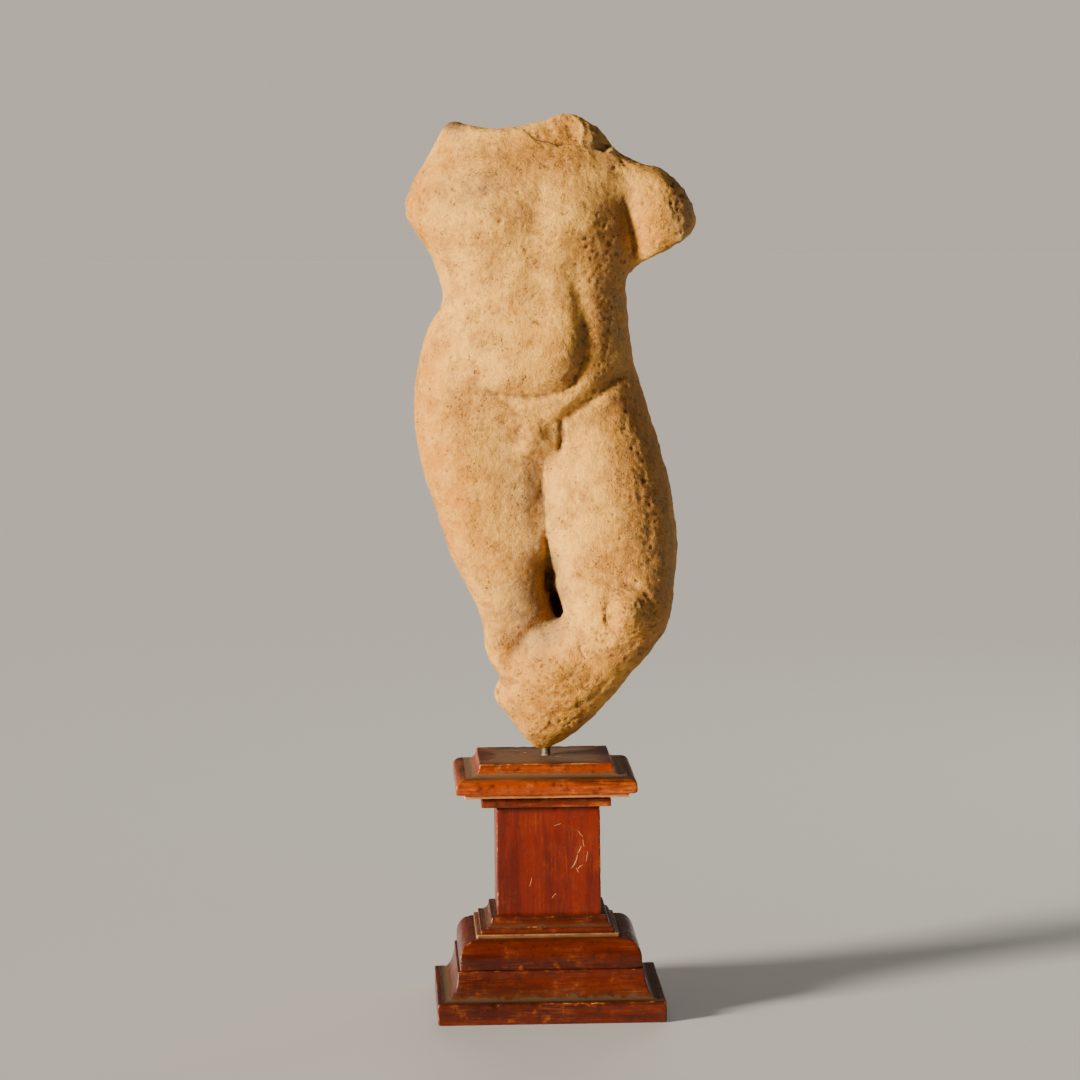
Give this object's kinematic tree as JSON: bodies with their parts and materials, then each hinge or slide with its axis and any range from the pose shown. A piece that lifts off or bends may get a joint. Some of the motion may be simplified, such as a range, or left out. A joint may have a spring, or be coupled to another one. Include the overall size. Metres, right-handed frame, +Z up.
{
  "type": "limestone torso sculpture on wooden plinth",
  "caption": "Broken standing torso with crossed legs in weathered limestone, held by a short steel pin above a square moulded wooden plinth.",
  "frame": {"origin": "centre of the flat underside of the plinth", "axes": "+Z up; the torso's front faces -Y, and +X is to the right of someone looking at its front"},
  "size_m": [0.1912, 0.15, 0.5938],
  "materials": {
    "limestone": "rough weathered limestone with brown patina and pits",
    "steel": "dull dusty steel rod",
    "stained_wood": "red-brown stained wood, worn satin polish",
    "worn_wood": "thin strip with its stain rubbed pale and dusty"
  },
  "bodies": {
    "root": {"torso": "limestone", "mounting_pin": "steel", "plinth_slab": "stained_wood", "plinth_cove": "stained_wood", "plinth_ovolo": "stained_wood", "plinth_ledge": "worn_wood", "plinth_step": "stained_wood", "plinth_foot_moulding": "stained_wood", "plinth_die": "stained_wood", "plinth_neck_moulding": "stained_wood", "plinth_strip": "worn_wood", "plinth_cap": "stained_wood"}
  },
  "joints": []
}
